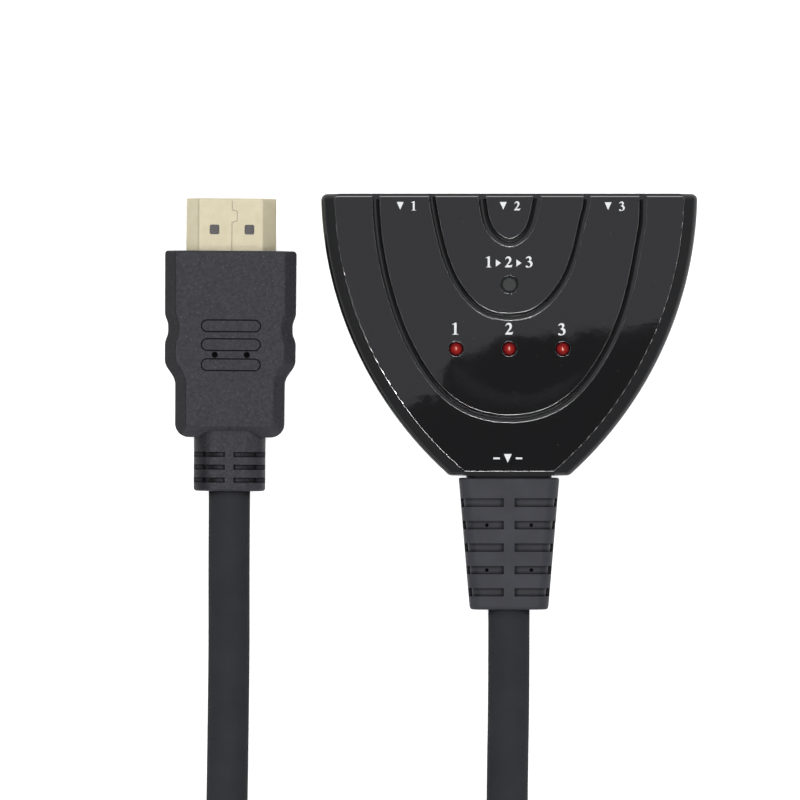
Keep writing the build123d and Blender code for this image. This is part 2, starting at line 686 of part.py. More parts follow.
with BuildPart() as box_strain_relief:
    with BuildSketch(section(RELIEF_Y0)):
        with Locations((0, RELIEF_Z)):
            RectangleRounded(RELIEF_W0, RELIEF_H0, 1.8)
    with BuildSketch(section(RELIEF_Y1)):
        with Locations((0, RELIEF_Z)):
            RectangleRounded(RELIEF_W1, RELIEF_H1, 1.8)
    loft(ruled=True)
    fillet(box_strain_relief.faces().sort_by(Axis.Y)[0].edges(), radius=0.5)
    fillet(box_strain_relief.faces().sort_by(Axis.Y)[-1].edges(), radius=0.25)
    add(relief_slots.part, mode=Mode.SUBTRACT)
    # the core under the pockets
    with BuildSketch(section(RELIEF_Y0 - 0.5)):
        with Locations((0, RELIEF_Z)):
            RectangleRounded(RELIEF_W0 - 2 * POCKET_DEPTH, RELIEF_H0 - 2 * POCKET_DEPTH, 1.5)
    with BuildSketch(section(RELIEF_Y1 + 0.7)):
        with Locations((0, RELIEF_Z)):
            RectangleRounded(RELIEF_W1 - 2 * POCKET_DEPTH, RELIEF_H1 - 2 * POCKET_DEPTH, 1.5)
    loft(ruled=True)
    # pin holes in the second and fourth rows
    for row in (1, 3):
        yc = sum(RELIEF_ROWS[row]) / 2
        with BuildSketch(Plane.XY.offset(RELIEF_Z + 6)):
            with Locations((-3.43, yc), (3.43, yc)):
                Circle(0.28)
        extrude(amount=-3.1, mode=Mode.SUBTRACT)
    # neck through the casing wall and the flange caught inside it
    with BuildSketch(section(REAR_Y + WALL + 0.02)):
        with Locations((0, RELIEF_Z)):
            RectangleRounded(13.16, 8.16, 2.0)
    extrude(amount=REAR_Y + WALL + 0.02 - RELIEF_Y0 + 0.3)
    with BuildSketch(section(REAR_Y + WALL + 1.42)):
        with Locations((0, RELIEF_Z)):
            RectangleRounded(15.4, 9.6, 1.5)
    extrude(amount=1.4)
    # bore that the cable fills
    with BuildSketch(section(REAR_Y + WALL + 3)):
        with Locations((0, RELIEF_Z)):
            Circle(CABLE_R)
    extrude(amount=40, mode=Mode.SUBTRACT)
box_strain_relief.part.label = "box_strain_relief"
export_step(box_strain_relief.part, "parts/box_strain_relief.step")

WIRE_START_Y = -18.0
with BuildPart() as cable_end_box:
    with BuildSketch(section(WIRE_START_Y)):
        with Locations((0, RELIEF_Z)):
            Circle(CABLE_R)
    extrude(amount=WIRE_START_Y - RELIEF_Y1)
cable_end_box.part.label = "cable_end_box"
export_step(cable_end_box.part, "parts/cable_end_box.step")

WIRES = [
    ((-1.9, 7.3), -6.3), ((-1.4, 8.9), -4.9), ((-0.6, 6.2), -3.5), ((-0.5, 8.0), -2.1), ((0.0, 9.7), -0.7),
    ((0.5, 6.6), 0.7), ((0.9, 8.3), 2.1), ((1.2, 5.4), 3.5), ((1.9, 7.2), 4.9), ((1.9, 9.0), 6.3),
]
with BuildPart() as signal_wires:
    for (x0, z0), x1 in WIRES:
        start = Vector(x0, WIRE_START_Y, z0)
        end = Vector(x1, PCB_REAR_Y + 1.2, PCB_TOP + 0.5)
        with BuildLine() as run:
            Line(start, end)
        with BuildSketch(Plane(origin=start, z_dir=end - start)):
            Circle(0.36)
        sweep(path=run.wires()[0])
signal_wires.part.label = "signal_wires"
export_step(signal_wires.part, "parts/signal_wires.step")


# =====================================================================
# Cable: the run out of the box, the coil, and the run back to the plug
# =====================================================================
ROUTE_OUT = [
    (0.0, RELIEF_Y1, RELIEF_Z),
    (0.0, -55.5, RELIEF_Z),
    (-0.18, -67.9, FLOOR_Z),
    (-0.28, -80.0, FLOOR_Z),
    (0.1, -97.3, FLOOR_Z),
    (8.8, -114.5, FLOOR_Z),
    (8.2, -133.7, FLOOR_Z),
]
plug_tail = plug_plane.from_local_coords((0, -(PLUG_L + PLUG_RELIEF_L), 0))
plug_lead = plug_plane.from_local_coords((0, -(PLUG_L + PLUG_RELIEF_L) - 11.5, 0))
ROUTE_BACK = [
    (-57.9, -141.0, FLOOR_Z),
    (-57.7, -119.0, FLOOR_Z),
    (-44.1, -97.7, FLOOR_Z),
    (-43.7, -76.0, FLOOR_Z),
    (-43.46, -60.0, FLOOR_Z),
    (-43.32, -47.3, FLOOR_Z),
    (plug_lead.X, plug_lead.Y, plug_lead.Z),
    (plug_tail.X, plug_tail.Y, plug_tail.Z),
]


def corner_radii(route):
    """0.45 of the shorter run over the tangent of half the turn, at each corner."""
    pts = [Vector(*p) for p in route]
    radii = []
    for a, b, c in zip(pts, pts[1:], pts[2:]):
        u, v = b - a, c - b
        turn = radians(u.get_angle(v))
        radii.append(0.45 * min(u.length, v.length) / tan(turn / 2))
    return radii


for route, name in ((ROUTE_OUT, "cable_run_out"), (ROUTE_BACK, "cable_run_back")):
    radii = corner_radii(route)
    with BuildPart() as cable_run:
        with BuildLine() as path:
            FilletPolyline(*route, radius=radii)
        first = Vector(*route[1]) - Vector(*route[0])
        with BuildSketch(Plane(origin=route[0], z_dir=first)):
            Circle(CABLE_R)
        sweep(path=path.wires()[0])
    length = path.wires()[0].length
    print(name, "length", round(length, 2), "radii", [round(r, 1) for r in radii])
    print(name, "volume", round(cable_run.part.volume, 1), "section x length", round(pi * CABLE_R**2 * length, 1))
    cable_run.part.label = name
    export_step(cable_run.part, f"parts/{name}.step")

CROSS_ANGLE = radians(62.9)       # from the coil's left side, clockwise
COIL_MID = (COIL_R_OUT + COIL_R_IN) / 2
COIL_W = COIL_R_OUT - COIL_R_IN + CABLE_D
radial = Vector(-cos(CROSS_ANGLE), sin(CROSS_ANGLE), 0)
along = Vector(sin(CROSS_ANGLE), cos(CROSS_ANGLE), 0)

with BuildPart() as coil_band:
    with BuildSketch(Plane.XY):
        with Locations((COIL_X, COIL_Y)):
            Circle(COIL_R_OUT + CABLE_R)
            Circle(COIL_R_IN - CABLE_R, mode=Mode.SUBTRACT)
    extrude(amount=20)

with BuildPart() as coil_hump:
    # long low hump where the outer turn passes over the strand below it
    with BuildSketch(Plane(origin=Vector(COIL_X, COIL_Y, 0) + radial * (COIL_MID + 9), x_dir=along, z_dir=radial * -1)):
        with BuildLine():
            Polyline((-35, 3.0), (-9, 13.4), (9, 13.4), (35, 3.0), close=True)
        hump = make_face()
        fillet(hump.vertices().sort_by(Axis.Y)[-2:], radius=12)
    extrude(amount=32)
    add(coil_band.part, mode=Mode.INTERSECT)

with BuildPart() as cable_coil:
    with BuildSketch(Plane.XZ.offset(-COIL_Y)):
        with Locations((COIL_X + COIL_MID, CABLE_R + 0.05)):
            RectangleRounded(COIL_W, CABLE_D, 2.8)
    revolve(axis=Axis((COIL_X, COIL_Y, 0), (0, 0, 1)), revolution_arc=360)
    add(coil_hump.part)
cable_coil.part.label = "cable_coil"
export_step(cable_coil.part, "parts/cable_coil.step")


# =====================================================================
# Plug
# =====================================================================
PLUG_HALF = PLUG_T / 2

with BuildPart() as plug_cable_bore:
    with BuildSketch(plug_section(-14.0)):
        Circle(CABLE_R)
    extrude(amount=PLUG_L + PLUG_RELIEF_L - 14.0)

with BuildPart() as cable_end_plug:
    add(plug_cable_bore.part)
cable_end_plug.part.label = "cable_end_plug"
export_step(cable_end_plug.part, "parts/cable_end_plug.step")

# half of the overmould's outline: (half width, distance behind its front face)
MOULD_SIDE = [
    (10.13, 0.0),
    (10.1, 9.9),
    (9.58, 11.25),
    (9.58, 12.85),
    (10.08, 14.1),
    (10.06, 17.55),
    (8.43, 19.9),
    (8.41, PLUG_L),
]

MOULD_ROUNDS = [2.4, 2.2, 2.2, 2.4, 2.3, 2.8, 2.1]    # at each corner behind the front face
FACE_IN = 1.7              # the flat face stands this far inside the outline
FACE_DOWN = 2.0
PILL_L, PILL_W = 9.3, 2.0
PILL_V = [11.6, 14.5, 17.6]
PILL_X = 0.15
PLUG_SLOT_V = [31.45, 33.4, 35.4]

with BuildPart() as plug_slots:
    # thin flex slots in the moulded-on strain relief, above and below
    for v in PLUG_SLOT_V:
        for sx in (-1, 1):
            for sz in (-1, 1):
                with BuildSketch(plug_section(-(v - 0.39))):
                    with Locations((sx * (0.66 + 4), sz * (1.5 + 4))):
                        Rectangle(8, 8)
                extrude(amount=0.78)

with BuildPart() as plug_overmould:
    with BuildSketch(plug_plane.offset(-PLUG_HALF)) as plug_overmould_outline:
        with BuildLine():
            Polyline(
                *[(x, -v) for x, v in MOULD_SIDE],
                *[(-x, -v) for x, v in reversed(MOULD_SIDE)],
                close=True,
            )
        make_face()
        for (x, v), r in zip(MOULD_SIDE[1:], MOULD_ROUNDS):
            fillet(
                [
                    w
                    for w in plug_overmould_outline.vertices()
                    if abs(abs(w.X) - x) < 1e-3 and abs(w.Y + v) < 1e-3
                ],
                radius=r,
            )
    extrude(amount=PLUG_T)
    for face in (
        plug_overmould.faces().sort_by(Axis.Z)[-1],
        plug_overmould.faces().sort_by(Axis.Z)[0],
    ):
        chamfer(
            [e for e in face.edges() if e.center().Y < PLUG_AT[1] - 0.2],
            length=FACE_IN,
            length2=FACE_DOWN,
            reference=face,
        )
    # rounding at the front rim and along the creases of the flat faces
    fillet(plug_overmould.faces().sort_by(Axis.Y)[-1].edges(), radius=0.45)
    for face in (
        plug_overmould.faces().sort_by(Axis.Z)[-1],
        plug_overmould.faces().sort_by(Axis.Z)[0],
    ):
        fillet([e for e in face.edges() if e.center().Y < PLUG_AT[1] - 1.0], radius=0.35)
    # moulded-on strain relief
    with BuildSketch(plug_section(-(PLUG_L - 3.0))):
        RectangleRounded(11.05, 9.5, 3.6)
    extrude(amount=PLUG_RELIEF_L + 3.0)
    fillet(
        plug_overmould.faces().sort_by(Axis.Y)[0].edges(),
        radius=0.45,
    )
    add(plug_slots.part, mode=Mode.SUBTRACT)
    with BuildSketch(plug_section(-(PLUG_L - 1.0))):
        RectangleRounded(8.3, 7.5, 3.2)
    extrude(amount=PLUG_RELIEF_L + 0.6)
    # three outlined pills and two pin holes on each flat face
    for side in (-1, 1):
        with BuildSketch(plug_plane.offset(side * (PLUG_HALF - 0.25))):
            with Locations(*[(PILL_X, -v) for v in PILL_V]):
                SlotOverall(PILL_L, PILL_W)
                SlotOverall(PILL_L - 0.4, PILL_W - 0.4, mode=Mode.SUBTRACT)
        extrude(amount=side * 1.0, mode=Mode.SUBTRACT)
        with BuildSketch(plug_plane.offset(side * (PLUG_HALF - 1.0))):
            with Locations((PILL_X - 2.47, -16.07), (PILL_X + 2.47, -16.07)):
                Circle(0.43)
        extrude(amount=side * 2.0, mode=Mode.SUBTRACT)
        # small pip at the tail edge of the flat face
        with BuildSketch(plug_plane.offset(side * (PLUG_HALF - 0.45))):
            with Locations((0, -27.75)):
                Circle(0.4)
        extrude(amount=side * 1.0, mode=Mode.SUBTRACT)
    # room for the metal shell, the inner mould and the cable end
    with BuildSketch(plug_section(1.0)):
        with BuildLine():
            Polyline(socket_points(0, 0, -1, -0.05), close=True)
        pocket = make_face()
        fillet(pocket.vertices(), radius=0.6)
    extrude(amount=1.0 + 3.0, mode=Mode.SUBTRACT)
    with BuildSketch(plug_section(-3.0)):
        RectangleRounded(15.0, 7.6, 1.0)
    extrude(amount=11.0, mode=Mode.SUBTRACT)
    add(plug_cable_bore.part, mode=Mode.SUBTRACT)
plug_overmould.part.label = "plug_overmould"
export_step(plug_overmould.part, "parts/plug_overmould.step")

SEAM_X = 0.15
with BuildPart() as plug_shell:
    with BuildSketch(plug_section(PLUG_SHELL_OUT)):
        with BuildLine():
            Polyline(socket_points(0, 0, -1, -0.05), close=True)
        outside = make_face()
        fillet(outside.vertices(), radius=0.6)
    extrude(amount=PLUG_SHELL_OUT + 3.0)
    fillet(plug_shell.faces().sort_by(Axis.Y)[-1].edges(), radius=0.12)
    with BuildSketch(plug_section(PLUG_SHELL_OUT)):
        with BuildLine():
            Polyline(socket_points(0, 0, -1, -0.05 - SHELL_T), close=True)
        inside = make_face()
        fillet(inside.vertices(), radius=0.35)
    extrude(amount=PLUG_SHELL_OUT + 3.0, mode=Mode.SUBTRACT)
    # latch windows, two above and two below
    with BuildSketch(plug_plane.offset(-4)):
        with Locations((SEAM_X - 2.7, 3.32), (SEAM_X + 2.7, 3.32)):
            RectangleRounded(1.5, 1.5, 0.28)
    extrude(amount=8, mode=Mode.SUBTRACT)
    # rolled seam with its dovetail
    with BuildSketch(plug_plane.offset(1)):
        with BuildLine() as seam:
            Polyline(
                (SEAM_X, PLUG_SHELL_OUT + 0.5),
                (SEAM_X, 6.35),
                (SEAM_X + 0.8, 6.15),
                (SEAM_X + 0.8, 4.65),
                (SEAM_X, 4.45),
                (SEAM_X, -3.5),
            )
        trace(seam.edges(), line_width=0.07)
    extrude(amount=3, mode=Mode.SUBTRACT)
    # shallow step where the shell enters the overmould
    with BuildSketch(plug_plane.offset(OPEN_HALF_H - 0.05 - 0.13)):
        with Locations((0, 0.375)):
            Rectangle(8.6, 0.75)
    extrude(amount=1, mode=Mode.SUBTRACT)
plug_shell.part.label = "plug_shell"
export_step(plug_shell.part, "parts/plug_shell.step")

PLUG_SLOT_H = 1.9
with BuildPart() as plug_contacts:
    for pins, side in ((UPPER_PINS, -1), (LOWER_PINS, 1)):
        z_wall = side * PLUG_SLOT_H / 2
        with BuildSketch(
            *[
                Plane(
                    origin=plug_plane.from_local_coords((x, 0, 0)),
                    x_dir=plug_plane.y_dir,
                    z_dir=plug_plane.x_dir,
                )
                for x in pins
            ]
        ):
            with BuildLine():
                Polyline(
                    (7.2, z_wall),
                    (7.2, z_wall - side * PIN_T),
                    (-4.5, z_wall - side * PIN_T),
                    (-4.5, z_wall),
                    close=True,
                )
            make_face()
        extrude(amount=PIN_W / 2, both=True)
plug_contacts.part.label = "plug_contacts"
export_step(plug_contacts.part, "parts/plug_contacts.step")

with BuildPart() as plug_insulator:
    with BuildSketch(plug_section(PLUG_SHELL_OUT - 0.4)):
        with BuildLine():
            Polyline(socket_points(0, 0, -1, -0.07 - SHELL_T), close=True)
        core = make_face()
        fillet(core.vertices(), radius=0.35)
    extrude(amount=PLUG_SHELL_OUT - 0.4 + 3.0)
    with BuildSketch(plug_section(PLUG_SHELL_OUT)):
        Rectangle(TONGUE_W + 0.4, PLUG_SLOT_H)
    extrude(amount=7.0, mode=Mode.SUBTRACT)
    add(plug_contacts.part, mode=Mode.SUBTRACT)
plug_insulator.part.label = "plug_insulator"
export_step(plug_insulator.part, "parts/plug_insulator.step")

with BuildPart() as plug_inner_mould:
    with BuildSketch(plug_section(-3.0)):
        RectangleRounded(15.0, 7.6, 1.0)
    extrude(amount=11.0)
    add(plug_contacts.part, mode=Mode.SUBTRACT)
plug_inner_mould.part.label = "plug_inner_mould"
export_step(plug_inner_mould.part, "parts/plug_inner_mould.step")
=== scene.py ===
import math

import bmesh
import bpy
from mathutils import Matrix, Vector


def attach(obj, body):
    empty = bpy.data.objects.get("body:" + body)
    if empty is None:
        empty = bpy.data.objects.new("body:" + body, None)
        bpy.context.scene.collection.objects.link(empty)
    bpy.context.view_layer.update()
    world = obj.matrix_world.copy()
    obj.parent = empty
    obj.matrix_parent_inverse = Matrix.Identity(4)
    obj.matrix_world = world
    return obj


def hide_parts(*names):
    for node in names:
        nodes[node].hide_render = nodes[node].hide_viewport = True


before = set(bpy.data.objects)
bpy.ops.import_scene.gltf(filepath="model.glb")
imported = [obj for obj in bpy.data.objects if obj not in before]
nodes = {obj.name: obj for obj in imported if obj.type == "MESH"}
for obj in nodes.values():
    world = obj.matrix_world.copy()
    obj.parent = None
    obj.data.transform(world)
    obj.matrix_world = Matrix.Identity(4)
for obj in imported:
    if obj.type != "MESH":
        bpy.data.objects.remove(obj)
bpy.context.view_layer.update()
scene = bpy.context.scene
MM = 0.001

# ---------------------------------------------------------------- camera
# Straight down, as in the photograph, with a long lens. The frame is
# 123.65 mm wide in the plane of the plug's upper face.
VIEW_X, VIEW_Y = -16.83, -10.06
VIEW_Z = 1500.0
FACE_Z = 7.7
camera_data = bpy.data.cameras.new("camera")
camera = bpy.data.objects.new("camera", camera_data)
scene.collection.objects.link(camera)
camera_data.sensor_width = 36.0
camera_data.lens = 36.0 * (VIEW_Z - FACE_Z) / 123.65
camera_data.clip_start = 0.05
camera_data.clip_end = 20.0
camera.location = (VIEW_X * MM, VIEW_Y * MM, VIEW_Z * MM)
camera.rotation_euler = (0.0, 0.0, 0.0)
scene.camera = camera
scene.view_settings.view_transform = "Standard"
scene.view_settings.look = "None"

# ------------------------------------------------------------------ cord
# One cable: out of the strain relief, round its coil below the picture,
# and back up into the plug. Control points in millimetres.
CORD_POINTS = [
    # out of the box and down to the surface
    (0.0, -42.4, 7.5), (0.0, -55.5, 7.5), (-0.18, -67.9, 3.25), (-0.28, -80.0, 3.25),
    (0.1, -97.3, 3.25), (8.8, -114.5, 3.25), (8.2, -133.7, 3.25),
    # outer turn
    (-1.78, -150.25, 3.25), (-18.86, -159.77, 3.25), (-38.42, -159.42, 3.25),
    (-55.09, -149.26, 3.25), (-63.72, -134.02, 3.25), (-64.88, -119.87, 3.3),
    # over the strand that leaves, then down inside the outer turn
    (-61.2, -107.62, 4.9), (-52.29, -96.31, 10.1), (-35.06, -89.9, 10.1),
    (-21.36, -91.86, 4.9), (-10.66, -97.39, 3.3), (-0.96, -108.11, 3.25),
    # inner half turn
    (3.02, -123.1, 3.25), (-1.1, -138.63, 3.25), (-12.47, -150.0, 3.25),
    (-28.0, -154.16, 3.25), (-43.53, -150.0, 3.25), (-54.64, -138.48, 3.25),
    # back up to the plug
    (-57.7, -119.0, 3.25), (-44.1, -97.7, 3.25), (-43.7, -76.0, 3.25),
    (-43.46, -60.0, 3.25), (-43.32, -47.3, 3.25), (-43.309, -35.63, 5.5),
    (-43.229, -24.129, 5.5),
]
CABLE_R = 3.2 * MM
line_curve = bpy.data.curves.new("cable_line", "CURVE")
line_curve.dimensions = "3D"
spline = line_curve.splines.new("NURBS")
spline.points.add(len(CORD_POINTS) - 1)
for point, (x, y, z) in zip(spline.points, CORD_POINTS):
    point.co = (x * MM, y * MM, z * MM, 1.0)
spline.order_u = 3
spline.use_endpoint_u = True
spline.resolution_u = 16
line_object = bpy.data.objects.new("cable_line", line_curve)
scene.collection.objects.link(line_object)
bpy.context.view_layer.update()
line_mesh = bpy.data.meshes.new_from_object(line_object)
CABLE_PATH = [v.co.copy() for v in line_mesh.vertices]
bpy.data.meshes.remove(line_mesh)
bpy.data.objects.remove(line_object)


def tube(name, path, radius, sides):
    """A closed round tube along path, with no twist."""
    mesh = bmesh.new()
    up = Vector((0.0, 0.0, 1.0))
    rings = []
    for i, at in enumerate(path):
        ahead = (path[min(i + 1, len(path) - 1)] - path[max(i - 1, 0)]).normalized()
        up = (up - ahead * up.dot(ahead)).normalized()
        across = ahead.cross(up)
        rings.append([
            mesh.verts.new(at + (up * math.cos(a) + across * math.sin(a)) * radius)
            for a in (2 * math.pi * k / sides for k in range(sides))
        ])
    for near, far in zip(rings, rings[1:]):
        for k in range(sides):
            j = (k + 1) % sides
            mesh.faces.new((near[k], far[k], far[j], near[j])).smooth = True
    mesh.faces.new(rings[0])
    mesh.faces.new(list(reversed(rings[-1])))
    bmesh.ops.recalc_face_normals(mesh, faces=mesh.faces)
    data = bpy.data.meshes.new(name)
    mesh.to_mesh(data)
    mesh.free()
    thing = bpy.data.objects.new(name, data)
    scene.collection.objects.link(thing)
    return thing


cable = tube("cable", CABLE_PATH, CABLE_R, 40)
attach(cable, "box")
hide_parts("cable_run_out", "cable_coil", "cable_run_back")


# ------------------------------------------------------------- materials
class Mat:
    """A node material built round one Principled shader. Lengths are in metres."""

    def __init__(self, name):
        self.material = bpy.data.materials.new(name)
        self.material.use_nodes = True
        self.tree = self.material.node_tree
        self.tree.nodes.clear()
        self.out = self.tree.nodes.new("ShaderNodeOutputMaterial")
        self.shader = self.tree.nodes.new("ShaderNodeBsdfPrincipled")
        self.tree.links.new(self.shader.outputs[0], self.out.inputs["Surface"])
        self.place = self.tree.nodes.new("ShaderNodeTexCoord").outputs["Object"]
        self.normal = None

    def link(self, a, b):
        self.tree.links.new(a, b)

    def set(self, **values):
        for key, value in values.items():
            name = {
                "base": "Base Color", "rough": "Roughness", "metal": "Metallic",
                "ior": "IOR", "coat": "Coat Weight", "coat_rough": "Coat Roughness",
                "sheen": "Sheen Weight", "sheen_rough": "Sheen Roughness",
                "spec": "Specular IOR Level", "aniso": "Anisotropic",
                "sss": "Subsurface Weight", "transmission": "Transmission Weight",
            }[key]
            self.shader.inputs[name].default_value = (*value, 1.0) if isinstance(value, tuple) else value
        return self

    def stretched(self, scale):
        """The place, scaled apart along x, y and z, for brushed or drawn marks."""
        node = self.tree.nodes.new("ShaderNodeVectorMath")
        node.operation = "MULTIPLY"
        node.inputs[1].default_value = scale
        self.link(self.place, node.inputs[0])
        return node.outputs[0]

    def noise(self, size, detail=2.0, rough=0.5, distortion=0.0, place=None):
        """Noise with features about size metres across."""
        node = self.tree.nodes.new("ShaderNodeTexNoise")
        node.inputs["Scale"].default_value = 1.0 / size
        node.inputs["Detail"].default_value = detail
        node.inputs["Roughness"].default_value = rough
        node.inputs["Distortion"].default_value = distortion
        self.link(place or self.place, node.inputs["Vector"])
        return node.outputs["Fac"]

    def grains(self, size, place=None):
        node = self.tree.nodes.new("ShaderNodeTexVoronoi")
        node.inputs["Scale"].default_value = 1.0 / size
        self.link(place or self.place, node.inputs["Vector"])
        return node.outputs["Distance"]

    def ramp(self, value, stops):
        node = self.tree.nodes.new("ShaderNodeValToRGB")
        elements = node.color_ramp.elements
        while len(elements) > len(stops):
            elements.remove(elements[-1])
        while len(elements) < len(stops):
            elements.new(1.0)
        for element, (at, colour) in zip(elements, stops):
            element.position = at
            element.color = (*colour, 1.0) if isinstance(colour, tuple) else (colour, colour, colour, 1.0)
        self.link(value, node.inputs["Fac"])
        return node.outputs["Color"]

    def span(self, value, low, high, new_low, new_high):
        node = self.tree.nodes.new("ShaderNodeMapRange")
        node.inputs["From Min"].default_value = low
        node.inputs["From Max"].default_value = high
        node.inputs["To Min"].default_value = new_low
        node.inputs["To Max"].default_value = new_high
        self.link(value, node.inputs["Value"])
        return node.outputs["Result"]

    def bump(self, height, distance, strength=1.0):
        """Adds a layer of relief; distance is its height in metres."""
        node = self.tree.nodes.new("ShaderNodeBump")
        node.inputs["Strength"].default_value = strength
        node.inputs["Distance"].default_value = distance
        self.link(height, node.inputs["Height"])
        if self.normal is not None:
            self.link(self.normal, node.inputs["Normal"])
        self.normal = node.outputs["Normal"]
        self.link(self.normal, self.shader.inputs["Normal"])
        return self

    def colour(self, socket):
        self.link(socket, self.shader.inputs["Base Color"])
        return self

    def roughness(self, socket):
        self.link(socket, self.shader.inputs["Roughness"])
        return self

    def paint_hollow_shade(self, colour, reach, least):
        """The colour with painted shade, darker where the surface is shut in within reach metres."""
        shut = self.tree.nodes.new("ShaderNodeAmbientOcclusion")
        shut.samples = 8
        shut.only_local = True
        shut.inputs["Distance"].default_value = reach
        self.link(colour, shut.inputs["Color"])
        depth = self.ramp(shut.outputs["AO"], [(0.40, least), (0.74, 0.5 + least / 2), (0.96, 1.0)])
        mix = self.tree.nodes.new("ShaderNodeMix")
        mix.data_type = "RGBA"
        mix.blend_type = "MULTIPLY"
        mix.inputs["Factor"].default_value = 1.0
        self.link(colour, mix.inputs[6])
        self.link(depth, mix.inputs[7])
        return mix.outputs[2]

    def turned_x(self):
        """How far the surface is turned towards +X, from -1 to 1."""
        facing = self.tree.nodes.new("ShaderNodeNewGeometry")
        split = self.tree.nodes.new("ShaderNodeSeparateXYZ")
        self.link(facing.outputs["Normal"], split.inputs[0])
        return split.outputs["X"]

    def times(self, colour, factor):
        """The colour times a factor that varies from place to place."""
        mix = self.tree.nodes.new("ShaderNodeMix")
        mix.data_type = "RGBA"
        mix.blend_type = "MULTIPLY"
        mix.inputs["Factor"].default_value = 1.0
        self.link(colour, mix.inputs[6])
        self.link(factor, mix.inputs[7])
        return mix.outputs[2]

    def distance_from(self, x, y):
        """Distance in the plan from an upright axis, in metres."""
        node = self.tree.nodes.new("ShaderNodeVectorMath")
        node.operation = "MULTIPLY"
        node.inputs[1].default_value = (1.0, 1.0, 0.0)
        self.link(self.place, node.inputs[0])
        away = self.tree.nodes.new("ShaderNodeVectorMath")
        away.operation = "DISTANCE"
        away.inputs[1].default_value = (x, y, 0.0)
        self.link(node.outputs[0], away.inputs[0])
        return away.outputs["Value"]


def glossy_casing():
    m = Mat("casing_gloss_black").set(ior=1.5, spec=0.5)
    # black, with a scatter of dust specks
    m.colour(m.ramp(m.grains(2.6 * MM), [(0.0, (0.10, 0.10, 0.10)), (0.018, (0.045, 0.045, 0.046)), (0.032, (0.0035, 0.0035, 0.0040))]))
    # polished, with faint haze where it was handled
    m.roughness(m.span(m.noise(4 * MM, 4, 0.6), 0.35, 0.75, 0.010, 0.032))
    # moulding waves, then the finest orange peel
    m.bump(m.noise(26 * MM, 1.0, 0.4), 0.030 * MM)
    m.bump(m.noise(1.6 * MM, 2.0, 0.5), 0.0006 * MM)
    return m.material


def groove_lining():
    """The same black, painted darker as shade and left dull on the steep inner wall of the grooves."""
    m = Mat("casing_groove_painted_shade").set(ior=1.5, spec=0.04)
    m.colour(m.ramp(m.noise(3 * MM, 3, 0.6), [(0.3, (0.0016, 0.0016, 0.0018)), (0.7, (0.0026, 0.0026, 0.0029))]))
    m.roughness(m.span(m.noise(1.2 * MM, 3, 0.6), 0.3, 0.7, 0.28, 0.40))
    m.bump(m.noise(0.25 * MM, 2, 0.5), 0.0008 * MM)
    return m.material


def satin(name, dark, light, rough, grain=0.16, depth=0.006, cloud=4.0, specks=None, hollow_shade=None, spec=0.4, pit_shade=(), flank_shade=None):
    """Soft moulded plastic with a fine spark-eroded texture."""
    m = Mat(name).set(ior=1.47, spec=spec)
    body = m.ramp(m.noise(cloud * MM, 4, 0.6), [(0.3, dark), (0.7, light)])
    if specks:
        # pale flecks of the texture, painted in as the glints where it catches the light
        mix = m.tree.nodes.new("ShaderNodeMix")
        mix.data_type = "RGBA"
        m.link(m.ramp(m.grains(specks * MM), [(0.0, 1.0), (0.08, 0.6), (0.15, 0.0)]), mix.inputs[0])
        m.link(body, mix.inputs[6])
        mix.inputs[7].default_value = (0.10, 0.10, 0.11, 1.0)
        body = mix.outputs[2]
    # painted shade in the hollows
    if hollow_shade:
        body = m.paint_hollow_shade(body, hollow_shade * MM, 0.04)
    for x, y, radius in pit_shade:
        # painted shade in the narrow pin holes, as no light comes back out of them
        body = m.times(body, m.span(m.distance_from(x * MM, y * MM), radius * MM, (radius + 0.1) * MM, 0.02, 1.0))
    if flank_shade:
        # painted shade: the wall turned away from the box, towards -X, is darkened
        body = m.times(body, m.span(m.turned_x(), -0.55, -0.25, flank_shade, 1.0))
    m.colour(body)
    m.roughness(m.span(m.noise(grain * 2 * MM, 3, 0.6), 0.3, 0.7, rough - 0.05, rough + 0.06))
    m.bump(m.noise(grain * MM, 2, 0.6), depth * MM)
    return m.material


def cable_jacket():
    m = Mat("cable_jacket").set(ior=1.48, spec=0.02)
    m.colour(m.ramp(m.noise(6 * MM, 4, 0.6), [(0.3, (0.0245, 0.0250, 0.0278)), (0.7, (0.0292, 0.0298, 0.0330))]))
    m.roughness(m.span(m.noise(0.5 * MM, 4, 0.6), 0.3, 0.7, 0.44, 0.56))
    # drawn lines along the strands, then the jacket's fine grain
    m.bump(m.noise(1.0 * MM, 2, 0.5, place=m.stretched((2.4, 0.05, 2.4))), 0.010 * MM)
    m.bump(m.noise(0.14 * MM, 2, 0.6), 0.004 * MM)
    return m.material


def metal(name, dark, light, rough, along=(1.0, 0.08, 1.0), depth=0.0012, bare=1.0, vary=1.0, side_light=None):
    """Plated sheet with faint rolling lines; under 1, bare is a satin plating."""
    m = Mat(name).set(metal=bare)
    sheet = m.ramp(m.noise(1.8 * MM, 3, 0.6), [(0.3, dark), (0.7, light)])
    if side_light:
        # painted light: the wall turned towards the box, towards +X, is made paler
        sheet = m.times(sheet, m.span(m.turned_x(), 0.3, 0.7, 1.0, side_light))
    m.colour(sheet)
    place = m.stretched(along)
    m.roughness(m.span(m.noise(0.22 * MM, 3, 0.6, place=place), 0.3, 0.7, rough - 0.05 * vary, rough + 0.07 * vary))
    m.bump(m.noise(0.16 * MM, 2, 0.5, place=place), depth * MM)
    m.bump(m.noise(3.0 * MM, 1, 0.4), 0.006 * MM)
    return m.material


def plain_plastic(name, dark, light, rough, size=0.8, depth=0.003):
    m = Mat(name).set(ior=1.5)
    m.colour(m.ramp(m.noise(size * MM, 3, 0.6), [(0.3, dark), (0.7, light)]))
    m.roughness(m.span(m.noise(size * 0.4 * MM, 2, 0.5), 0.3, 0.7, rough - 0.05, rough + 0.05))
    m.bump(m.noise(size * 0.3 * MM, 2, 0.5), depth * MM)
    return m.material


